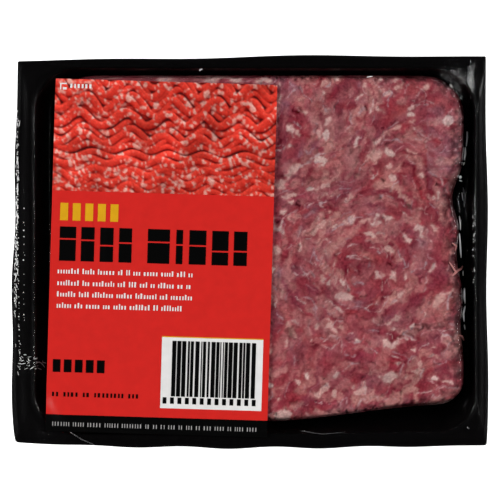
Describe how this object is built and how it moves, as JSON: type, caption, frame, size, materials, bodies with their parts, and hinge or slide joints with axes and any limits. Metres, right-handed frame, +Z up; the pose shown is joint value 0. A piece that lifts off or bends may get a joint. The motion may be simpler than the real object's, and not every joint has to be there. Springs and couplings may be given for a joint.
{
  "type": "meat tray pack",
  "caption": "Flat sealed pack of minced meat: a black formed plastic tray with a flange, a pressed block of mince, a clear skin film drawn over it and a red label on the film.",
  "frame": {"origin": "middle of the pack's bounding box, on the plane that the tray's base rests on", "axes": "+X along the long side, towards the end where the meat shows; +Y towards the label's upper edge; +Z up, out of the film"},
  "size_m": [0.1864, 0.1542, 0.0242],
  "materials": {
    "black_tray": "glossy black thermoformed sheet",
    "raw_mince": "raw minced meat with pale fat flecks, damp, pressed smooth by the film",
    "clear_film": "clear glossy plastic film",
    "red_label": "glossy red printed label",
    "label_black": "glossy black print",
    "label_white": "glossy white print",
    "label_yellow": "glossy yellow print"
  },
  "bodies": {
    "root": {"tray": "black_tray", "mince": "raw_mince", "skin_film": "clear_film", "label": "red_label"}
  },
  "joints": []
}
